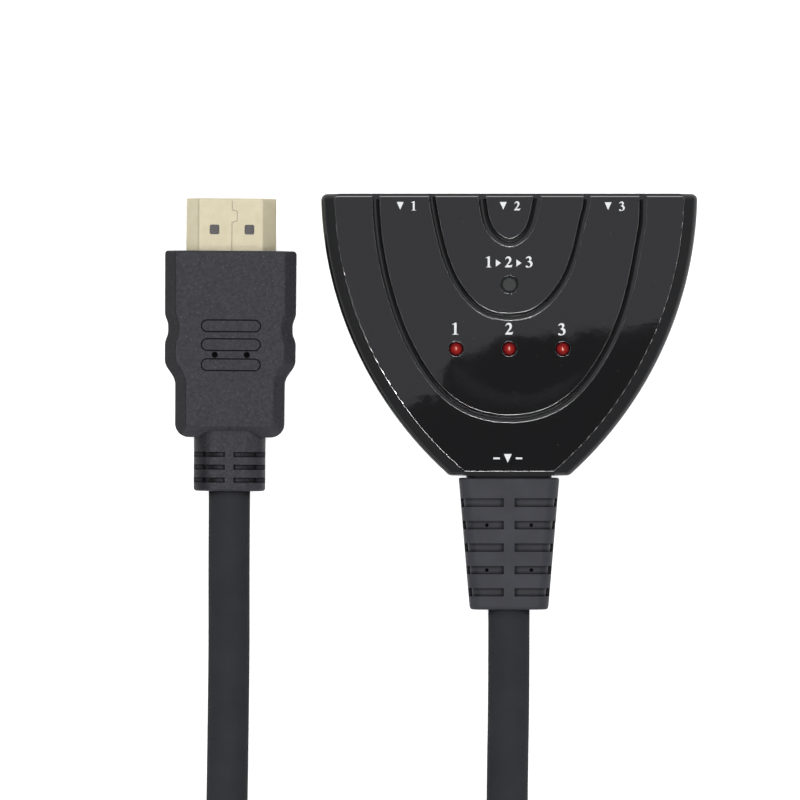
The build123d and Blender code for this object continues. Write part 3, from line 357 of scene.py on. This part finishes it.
def lamp_red(x, y, name):
    """Diffused red resin, paler over the chip in its middle, darkened towards the rim with painted shade."""
    m = Mat(name).set(ior=1.5, rough=0.10, spec=0.08)
    near = m.span(m.distance_from(x * MM, y * MM), 0.0, 1.0 * MM, 0.0, 1.0)
    m.colour(m.ramp(near, [
        (0.0, (0.36, 0.075, 0.035)), (0.24, (0.27, 0.022, 0.016)), (0.66, (0.165, 0.006, 0.007)), (1.0, (0.055, 0.002, 0.003)),
    ]))
    m.bump(m.noise(0.5 * MM, 2, 0.5), 0.001 * MM)
    return m.material


def circuit_board():
    """Green solder mask over faint copper tracks."""
    m = Mat("solder_mask").set(ior=1.5, rough=0.35)
    tracks = m.tree.nodes.new("ShaderNodeTexBrick")
    tracks.inputs["Scale"].default_value = 1.0
    tracks.inputs["Brick Width"].default_value = 5.0 * MM
    tracks.inputs["Row Height"].default_value = 0.8 * MM
    tracks.inputs["Mortar Size"].default_value = 0.16 * MM
    tracks.inputs["Color1"].default_value = (0.010, 0.070, 0.030, 1.0)
    tracks.inputs["Color2"].default_value = (0.012, 0.080, 0.036, 1.0)
    tracks.inputs["Mortar"].default_value = (0.030, 0.150, 0.060, 1.0)
    m.link(m.place, tracks.inputs["Vector"])
    m.colour(tracks.outputs["Color"])
    m.bump(tracks.outputs["Fac"], 0.01 * MM)
    return m.material


def print_ink():
    """White pad print, slightly uneven."""
    m = Mat("print_white").set(ior=1.45, rough=0.55)
    m.colour(m.ramp(m.noise(0.35 * MM, 4, 0.7), [(0.25, (0.53, 0.54, 0.55)), (0.6, (0.66, 0.67, 0.68))]))
    m.bump(m.noise(0.10 * MM, 2, 0.6), 0.004 * MM)
    return m.material


def wire_colours():
    """Coloured insulation, one colour for each stretch across the board's edge."""
    m = Mat("wire_insulation").set(ior=1.48, rough=0.4)
    place = m.stretched((1.0, 0.0, 0.0))
    m.colour(m.ramp(m.noise(1.6 * MM, 0, 0.5, place=place), [
        (0.30, (0.45, 0.05, 0.03)), (0.42, (0.60, 0.45, 0.05)), (0.50, (0.55, 0.55, 0.52)),
        (0.58, (0.04, 0.25, 0.08)), (0.70, (0.03, 0.07, 0.35)),
    ]))
    m.bump(m.noise(0.4 * MM, 2, 0.5), 0.004 * MM)
    return m.material


casing = glossy_casing()
# the relief and the overmould carry painted shade in their hollows
relief = satin("relief_satin", (0.0335, 0.0338, 0.0398), (0.0410, 0.0414, 0.0485), 0.42, hollow_shade=0.8, spec=0.2)
# the overmould's wall turned away from the box is darkened with painted shade
overmould = satin("overmould_satin", (0.0270, 0.0270, 0.0318), (0.0450, 0.0447, 0.0510), 0.44, grain=0.2, depth=0.010, cloud=0.45, specks=0.7, hollow_shade=0.5, spec=0.2,
                  # painted shade in the overmould's two pin holes
                  pit_shade=((-45.402, -3.083, 0.43), (-40.462, -3.118, 0.43)), flank_shade=0.42)
# painted shade for the steep inner wall of the grooves
lining = groove_lining()
jacket = cable_jacket()
button = satin("button_satin", (0.0270, 0.0292, 0.0282), (0.0325, 0.0350, 0.0338), 0.34, grain=0.12, depth=0.002)
# painted light makes the gold shell's wall towards the box paler
shell_gold = metal("plug_shell_gold", (0.61, 0.55, 0.385), (0.665, 0.605, 0.435), 0.25, depth=0.00005, bare=0.45, vary=0.25, side_light=1.35)
socket_steel = metal("socket_steel", (0.56, 0.55, 0.53), (0.68, 0.67, 0.64), 0.24)
contact_gold = metal("contact_gold", (0.78, 0.56, 0.24), (0.90, 0.68, 0.34), 0.22)
tinned = metal("tinned_copper", (0.56, 0.56, 0.55), (0.70, 0.70, 0.70), 0.30)
black_insulator = plain_plastic("insulator_black", (0.012, 0.012, 0.013), (0.018, 0.018, 0.019), 0.45)
inner_black = plain_plastic("inner_mould_black", (0.007, 0.007, 0.008), (0.011, 0.011, 0.012), 0.5)
# painted reflection: the insulator is grey for the springs and shell seen through the plug's windows
insulator_painted_reflection = plain_plastic("insulator_painted_reflection", (0.085, 0.080, 0.082), (0.110, 0.104, 0.106), 0.5)
chip_black = plain_plastic("chip_black", (0.018, 0.018, 0.020), (0.028, 0.028, 0.030), 0.6, size=0.3)
board_green = circuit_board()
ink = print_ink()
wires = wire_colours()

MATERIAL_OF = {
    "top_shell": casing, "bottom_shell": casing, "select_button": button,
    "box_strain_relief": relief, "plug_overmould": overmould,
    "plug_inner_mould": inner_black, "plug_shell": shell_gold,
    "plug_insulator": insulator_painted_reflection, "plug_contacts": contact_gold,
    "cable_end_box": jacket, "cable_end_plug": jacket, "cable_run_out": jacket,
    "cable_run_back": jacket, "cable_coil": jacket, "main_pcb": board_green,
    "switch_chip": chip_black, "chip_resistors": chip_black, "chip_leads": tinned,
    "led_leads": tinned, "switch_terminals": tinned, "switch_body": black_insulator,
    "switch_cover": socket_steel, "switch_plunger": black_insulator,
    "snap_dome": socket_steel, "signal_wires": wires,
    "led_1": lamp_red(-8.2, -2.2, "lamp_red_1"), "led_2": lamp_red(0.0, -2.2, "lamp_red_2"),
    "led_3": lamp_red(8.2, -2.2, "lamp_red_3"),
}
for number in (1, 2, 3):
    MATERIAL_OF[f"port_{number}_shell"] = socket_steel
    MATERIAL_OF[f"port_{number}_insulator"] = black_insulator
    MATERIAL_OF[f"port_{number}_contacts"] = contact_gold
for name, thing in nodes.items():
    thing.data.materials.clear()
    thing.data.materials.append(MATERIAL_OF[name])
cable.data.materials.append(jacket)


# --------------------------------------------------------------- grooves
# The rounded bottoms of the three grooves. Half of each centre line as
# (x, distance behind the front face), the groove's width, and how fast
# its curve starts and ends.
FRONT_Y, BOX_TOP = 21.7, 15.0
GROOVES = {
    "groove_lining_outer": (
        [(20.55, -1.0), (20.2, 6.0), (18.4, 15.1), (14.1, 25.6), (7.5, 32.75), (0.0, 34.65)], 1.02, 1.0185, 2.3939),
    "groove_lining_middle": (
        [(11.95, -1.0), (11.45, 3.2), (9.9, 9.6), (6.9, 15.5), (3.3, 18.4), (0.0, 18.95)], 0.92, 1.0736, 1.9764),
    "groove_lining_inner": (
        [(4.25, -1.0), (4.0, 2.0), (2.9, 5.55), (0.0, 7.55)], 1.08, 1.0273, 2.0485),
}
GROOVE_FLOOR = 14.58


def smooth_through(points, start_speed, end_speed, step):
    """A smooth line through the points, straight away from the front at both ends."""
    at = [0.0]
    for p, q in zip(points, points[1:]):
        at.append(at[-1] + math.dist(p, q))
    n = len(points)
    low, mid, high, right = [0.0] * n, [1.0] * n, [0.0] * n, [(0.0, 0.0)] * n
    right[0], right[-1] = (0.0, -start_speed), (0.0, end_speed)
    for i in range(1, n - 1):
        h0, h1 = at[i] - at[i - 1], at[i + 1] - at[i]
        low[i], mid[i], high[i] = h1, 2 * (h0 + h1), h0
        right[i] = tuple(
            3 * (h1 * (points[i][k] - points[i - 1][k]) / h0 + h0 * (points[i + 1][k] - points[i][k]) / h1)
            for k in (0, 1)
        )
    for i in range(1, n):
        ratio = low[i] / mid[i - 1]
        mid[i] -= ratio * high[i - 1]
        right[i] = tuple(right[i][k] - ratio * right[i - 1][k] for k in (0, 1))
    slope = [None] * n
    slope[-1] = tuple(right[-1][k] / mid[-1] for k in (0, 1))
    for i in range(n - 2, -1, -1):
        slope[i] = tuple((right[i][k] - high[i] * slope[i + 1][k]) / mid[i] for k in (0, 1))
    line = []
    for i in range(n - 1):
        h = at[i + 1] - at[i]
        count = max(3, round(h / step))
        for j in range(count):
            u = j / count
            a, b = 2 * u ** 3 - 3 * u ** 2 + 1, u ** 3 - 2 * u ** 2 + u
            c, d = -2 * u ** 3 + 3 * u ** 2, u ** 3 - u ** 2
            line.append(tuple(
                a * points[i][k] + b * h * slope[i][k] + c * points[i + 1][k] + d * h * slope[i + 1][k]
                for k in (0, 1)
            ))
    line.append(points[-1])
    return line


def groove_lining_piece(name, half, width, start_speed, end_speed):
    points = [(-x, FRONT_Y - d) for x, d in half] + [(x, FRONT_Y - d) for x, d in reversed(half[:-1])]
    line = [p for p in smooth_through(points, start_speed, end_speed, 0.3) if p[1] < FRONT_Y - 0.55]
    # section: nearly flat outside, rising steeply to the inner wall, flat underneath
    edge, across, turn = width / 2 + 0.03, 14, -0.06
    section = []
    for i in range(across + 1):
        u = -edge + 2 * edge * i / across
        if u > turn:
            z = 14.602 + 0.25 * ((u - turn) / (edge - turn)) ** 1.5
        else:
            z = 14.602 + 0.04 * ((turn - u) / (edge + turn)) ** 2
        section.append((u, z))
    low_z = GROOVE_FLOOR - 0.02
    mesh = bmesh.new()
    rows = []
    for i, (x, y) in enumerate(line):
        x0, y0 = line[max(i - 1, 0)]
        x1, y1 = line[min(i + 1, len(line) - 1)]
        long = math.hypot(x1 - x0, y1 - y0)
        nx, ny = -(y1 - y0) / long, (x1 - x0) / long
        place = [(u, z) for u, z in section] + [(edge, low_z), (-edge, low_z)]
        rows.append([mesh.verts.new(((x + nx * u) * MM, (y + ny * u) * MM, z * MM)) for u, z in place])
    size = len(rows[0])
    for near, far in zip(rows, rows[1:]):
        for k in range(size):
            j = (k + 1) % size
            face = mesh.faces.new((near[k], near[j], far[j], far[k]))
            face.smooth = k < across
            # the steep inner wall takes the painted groove shade
            face.material_index = 1 if k < across and section[k][0] > turn - 0.01 else 0
    mesh.faces.new(rows[0])
    mesh.faces.new(list(reversed(rows[-1])))
    bmesh.ops.recalc_face_normals(mesh, faces=mesh.faces)
    for e in mesh.edges:
        if len(e.link_faces) == 2 and not all(f.smooth for f in e.link_faces):
            e.smooth = False
    data = bpy.data.meshes.new(name)
    mesh.to_mesh(data)
    mesh.free()
    data.materials.append(casing)
    data.materials.append(lining)
    thing = bpy.data.objects.new(name, data)
    scene.collection.objects.link(thing)
    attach(thing, "box")
    return thing


linings = [
    groove_lining_piece(name, half, width, start_speed, end_speed)
    for name, (half, width, start_speed, end_speed) in GROOVES.items()
]


# ----------------------------------------------------------------- marks
# White pad-printed numbers and plain pointers on the top plate.
# Outlines are in thousandths of the figure's height-setting unit.
FIGURES = {
    "1": [
        (322, 688), (322, 95), (330, 48), (362, 27), (442, 18), (442, 0), (70, 0), (70, 18), (150, 26),
        (180, 48), (188, 95), (188, 520), (183, 560), (166, 580), (140, 585), (68, 572), (60, 590), (255, 688),
    ],
    "2": [
        (18, 0), (425, 0), (478, 172), (455, 179), (432, 143), (402, 128), (360, 125), (178, 125), (250, 205),
        (330, 290), (388, 375), (413, 460), (406, 545), (370, 618), (312, 668), (240, 688), (162, 672),
        (96, 622), (46, 542), (28, 482), (50, 474), (86, 530), (130, 563), (180, 573), (234, 558), (270, 515),
        (280, 450), (260, 370), (210, 285), (120, 160), (18, 28),
    ],
    "3": [
        (32, 540), (62, 612), (122, 666), (202, 688), (286, 680), (350, 642), (381, 582), (376, 512),
        (342, 452), (298, 415), (372, 380), (430, 312), (450, 230), (434, 132), (380, 52), (292, 2),
        (180, -14), (90, -8), (36, 16), (18, 60), (34, 100), (76, 114), (122, 100), (166, 62), (214, 40),
        (264, 48), (304, 92), (320, 162), (304, 236), (264, 288), (204, 322), (140, 338), (140, 362),
        (204, 386), (244, 430), (257, 490), (244, 548), (204, 586), (150, 592), (100, 568), (54, 525),
    ],
    "down": [(0, 640), (520, 640), (260, 60)],
    "right": [(0, 640), (0, 60), (420, 350)],
    "dash": [(0, 290), (430, 290), (430, 410), (0, 410)],
}


def softened(points, times=1):
    """The outline with its corners cut once or twice, as ink rounds them."""
    for _ in range(times):
        cut = []
        for a, b in zip(points, points[1:] + points[:1]):
            far = math.dist(a, b)
            t = min(0.25, 14.0 / max(far, 1e-6))
            cut.append((a[0] + (b[0] - a[0]) * t, a[1] + (b[1] - a[1]) * t))
            cut.append((b[0] - (b[0] - a[0]) * t, b[1] - (b[1] - a[1]) * t))
        points = cut
    return points


INK_Z0, INK_Z1 = 14.999, 15.014


def mark(name, shapes):
    """One mesh of flat ink from (figure, left x, base y, height of 688 units) in millimetres."""
    mesh = bmesh.new()
    for figure, left, base, height in shapes:
        scale = height / 688.0
        outline = [(left + x * scale, base + y * scale) for x, y in softened(FIGURES[figure])]
        top = [mesh.verts.new((x * MM, y * MM, INK_Z1 * MM)) for x, y in outline]
        low = [mesh.verts.new((x * MM, y * MM, INK_Z0 * MM)) for x, y in outline]
        area = sum(a[0] * b[1] - b[0] * a[1] for a, b in zip(outline, outline[1:] + outline[:1]))
        if area < 0:
            top.reverse()
            low.reverse()
        lid = mesh.faces.new(top)
        for i in range(len(top)):
            j = (i + 1) % len(top)
            mesh.faces.new((top[j], top[i], low[i], low[j]))
        base_face = mesh.faces.new(list(reversed(low)))
        mesh.normal_update()
        bmesh.ops.triangulate(mesh, faces=[lid, base_face])
    data = bpy.data.meshes.new(name)
    mesh.to_mesh(data)
    mesh.free()
    data.materials.append(ink)
    thing = bpy.data.objects.new(name, data)
    scene.collection.objects.link(thing)
    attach(thing, "box")
    return thing


def figure_width(figure, height):
    xs = [x for x, _ in FIGURES[figure]]
    return (max(xs) - min(xs)) * height / 688.0, min(xs) * height / 688.0


def row_of(name, centre_x, base_y, figures, gap):
    """A row of (figure, height) centred on centre_x, gap millimetres apart."""
    widths = [figure_width(f, h) for f, h in figures]
    total = sum(w for w, _ in widths) + gap * (len(figures) - 1)
    left, shapes = centre_x - total / 2, []
    for (figure, height), (w, start) in zip(figures, widths):
        shapes.append((figure, left - start, base_y, height))
        left += w + gap
    return mark(name, shapes)


row_of("print_lamp_1", -8.33, 0.0, [("1", 1.84)], 0)
row_of("print_lamp_2", -0.05, 0.0, [("2", 1.84)], 0)
row_of("print_lamp_3", 8.06, -0.08, [("3", 1.84)], 0)
row_of("print_port_1", -15.83, 19.1, [("down", 1.4), ("1", 1.42)], 1.15)
row_of("print_port_2", 0.1, 19.1, [("down", 1.4), ("2", 1.42)], 1.15)
row_of("print_port_3", 16.2, 19.05, [("down", 1.4), ("3", 1.42)], 1.15)
row_of("print_select", -0.05, 10.35, [("1", 1.7), ("right", 1.3), ("2", 1.7), ("right", 1.3), ("3", 1.7)], 0.62)
row_of("print_out", -0.25, -19.85, [("dash", 1.6), ("down", 1.6), ("dash", 1.6)], 0.62)

# --------------------------------------------------------- floor, lights
def stage_plane(name, corners, material):
    mesh = bpy.data.meshes.new(name)
    mesh.from_pydata(corners, [], [list(range(len(corners)))])
    mesh.materials.append(material)
    thing = bpy.data.objects.new(name, mesh)
    scene.collection.objects.link(thing)
    return thing


def glow(name, colour, strength):
    material = bpy.data.materials.new(name)
    material.use_nodes = True
    tree = material.node_tree
    tree.nodes.clear()
    out = tree.nodes.new("ShaderNodeOutputMaterial")
    light = tree.nodes.new("ShaderNodeEmission")
    light.inputs["Color"].default_value = (*colour, 1.0)
    light.inputs["Strength"].default_value = strength
    tree.links.new(light.outputs[0], out.inputs["Surface"])
    return material


def paper(name, lit):
    """Matt white paper; lit is the light that comes through it from beneath."""
    m = Mat(name).set(rough=0.8)
    m.colour(m.ramp(m.noise(60 * MM, 3, 0.5), [(0.3, 0.80), (0.7, 0.82)]))
    m.bump(m.noise(0.8 * MM, 3, 0.6), 0.01 * MM)
    if lit:
        m.shader.inputs["Emission Color"].default_value = (1.0, 1.0, 1.0, 1.0)
        m.shader.inputs["Emission Strength"].default_value = lit
    return m.material


# the table top: a lit sheet that is seen, over one that the object mirrors
floor = stage_plane(
    "floor", [(-3, -3, -0.0001), (3, -3, -0.0001), (3, 3, -0.0001), (-3, 3, -0.0001)], paper("floor_paper", 0.62)
)
floor.visible_diffuse = False
floor.visible_glossy = False
floor.visible_shadow = False
under = stage_plane(
    "floor_below", [(-3, -3, -0.0005), (3, -3, -0.0005), (3, 3, -0.0005), (-3, 3, -0.0005)], paper("floor_paper_below", 0.0)
)
under.visible_camera = False

# overhead card that the polished plate mirrors, with an uneven edge
CARD_H = 1.2
GROW = (CARD_H * 1000 - 15.0) / (VIEW_Z - 15.0)


def seen_at(x, y):
    """The card's point that the plate mirrors at (x, y), in millimetres on the plate."""
    return ((x + GROW * (x - VIEW_X)) * MM, (y + GROW * (y - VIEW_Y)) * MM, CARD_H)


CARD_EDGE = [
    (-330, -19), (-90, -16), (-34, -15.5), (-28, -14.5), (-21, -13.2), (-15.5, -10.8), (-13.0, -9.6), (-11.6, -10.2), (-10.6, -9.0),
    (-10.2, -6.2), (-8.6, -4.2), (-6.0, -3.5), (-4.2, -3.3), (-2.6, -2.0), (-1.6, -0.9), (1.2, -0.7), (4.0, -0.8),
    (6.0, 0.2), (8.0, 0.1), (9.8, -0.4), (10.6, 0.8), (13.5, 1.4), (17.0, 1.2), (24, 2.2), (34, 1.6), (70, 3),
]
card = stage_plane(
    "overhead_card",
    [seen_at(*p) for p in CARD_EDGE] + [(0.6, 0.55, CARD_H), (-0.7, 0.55, CARD_H)],
    glow("card_glow", (1.0, 1.0, 1.06), 0.9),
)
# a fainter curved patch lower down
patch = stage_plane(
    "overhead_patch",
    [seen_at(*p) for p in (
        (-8.8, -5.1), (-7.9, -7.7), (-5.2, -9.6), (-2.0, -10.3), (1.7, -10.1), (5.0, -10.0), (7.9, -9.0), (11.8, -6.2),
        (10.2, -6.7), (8.0, -7.9), (5.6, -8.2), (2.4, -8.9), (0.2, -8.7), (-2.2, -8.6), (-4.5, -8.1), (-6.8, -6.2),
    )],
    glow("patch_glow", (1.0, 1.0, 1.06), 0.36),
)
for thing in (card, patch):
    thing.visible_camera = False
    thing.visible_diffuse = False
    thing.visible_shadow = False
    thing.visible_transmission = False


def area_light(name, at, size_x, size_y, radiance, aim=(-0.01, -0.02, 0.0), colour=(1.0, 1.0, 1.0)):
    data = bpy.data.lights.new(name, "AREA")
    data.shape = "RECTANGLE"
    data.size, data.size_y = size_x, size_y
    data.energy = radiance * math.pi * size_x * size_y
    data.color = colour
    thing = bpy.data.objects.new(name, data)
    scene.collection.objects.link(thing)
    thing.location = at
    thing.rotation_mode = "QUATERNION"
    thing.rotation_quaternion = (Vector(aim) - Vector(at)).to_track_quat("-Z", "Y")
    thing.visible_camera = False
    return thing


# one large soft light overhead, which the plate does not mirror
soft_box = area_light("soft_box", (-0.02, -0.01, 1.75), 1.2, 1.2, 8.4, aim=(-0.02, -0.01, 0.0))
soft_box.visible_glossy = False


def ring_glow(name, strongest, weakest):
    """Light that is strongest ahead of and behind the object, weakest at its sides."""
    material = glow(name, (1.0, 1.0, 1.0), 1.0)
    tree = material.node_tree
    place = tree.nodes.new("ShaderNodeTexCoord")
    apart = tree.nodes.new("ShaderNodeSeparateXYZ")
    size = tree.nodes.new("ShaderNodeMath")
    size.operation = "ABSOLUTE"
    spread = tree.nodes.new("ShaderNodeMapRange")
    spread.inputs["From Min"].default_value = 0.42
    spread.inputs["From Max"].default_value = 0.59
    spread.inputs["To Min"].default_value = weakest
    spread.inputs["To Max"].default_value = strongest
    tree.links.new(place.outputs["Object"], apart.inputs[0])
    tree.links.new(apart.outputs["Y"], size.inputs[0])
    tree.links.new(size.outputs[0], spread.inputs["Value"])
    emission = next(n for n in tree.nodes if n.type == "EMISSION")
    tree.links.new(spread.outputs["Result"], emission.inputs["Strength"])
    return material


# a thin ring of light all round, for the fine lines on the polished edges
ring_mesh = bmesh.new()
turns = 96
inner = [ring_mesh.verts.new((0.575 * math.cos(a), 0.575 * math.sin(a), 0.735)) for a in (2 * math.pi * k / turns for k in range(turns))]
outer = [ring_mesh.verts.new((0.615 * math.cos(a), 0.615 * math.sin(a), 0.705)) for a in (2 * math.pi * k / turns for k in range(turns))]
for k in range(turns):
    j = (k + 1) % turns
    ring_mesh.faces.new((inner[k], inner[j], outer[j], outer[k]))
ring_data = bpy.data.meshes.new("light_ring")
ring_mesh.to_mesh(ring_data)
ring_mesh.free()
ring_data.materials.append(ring_glow("ring_glow", 190.0, 20.0))
ring = bpy.data.objects.new("light_ring", ring_data)
scene.collection.objects.link(ring)
ring.visible_camera = False
ring.visible_diffuse = False
ring.visible_shadow = False
ring.visible_transmission = False
# a faint strip for the narrow facet along the socket face
front_strip = area_light("front_strip", (-0.02, 0.66, 0.62), 2.4, 0.12, 9.0)
front_strip.visible_diffuse = False
# both light the polished casing alone, so that the matt plastics stay matt
polished = bpy.data.collections.new("polished_casing")
for thing in (nodes["top_shell"], nodes["bottom_shell"], *linings):
    polished.objects.link(thing)
ring.light_linking.receiver_collection = polished
front_strip.light_linking.receiver_collection = polished
# two small lights close to overhead make the pair of glints on each lamp
lamps = bpy.data.collections.new("lamps")
for thing in (nodes["led_1"], nodes["led_2"], nodes["led_3"]):
    lamps.objects.link(thing)
for name, y in (("glint_ahead", 0.36), ("glint_behind", -0.28)):
    glint = area_light(name, (0.0, y, 1.1), 0.26, 0.26, 150.0, aim=(0.0, 0.0, 0.0))
    glint.visible_diffuse = False
    glint.light_linking.receiver_collection = lamps

# white surroundings near the horizon, dark above
world = bpy.data.worlds.new("studio")
scene.world = world
world.use_nodes = True
sky = world.node_tree
background = sky.nodes["Background"]
direction = sky.nodes.new("ShaderNodeTexCoord")
split = sky.nodes.new("ShaderNodeSeparateXYZ")
ramp = sky.nodes.new("ShaderNodeValToRGB")
sky.links.new(direction.outputs["Generated"], split.inputs[0])
sky.links.new(split.outputs["Z"], ramp.inputs["Fac"])
sky.links.new(ramp.outputs["Color"], background.inputs["Color"])
ramp.color_ramp.elements.new(0.5)
for stop, at, grey in zip(ramp.color_ramp.elements, (0.12, 0.30, 0.62), (0.85, 0.42, 0.19)):
    stop.position, stop.color = at, (grey, grey * 1.015, grey * 1.04, 1.0)
background.inputs["Strength"].default_value = 1.0

# ------------------------------------------------------------------ update
bpy.context.view_layer.update()
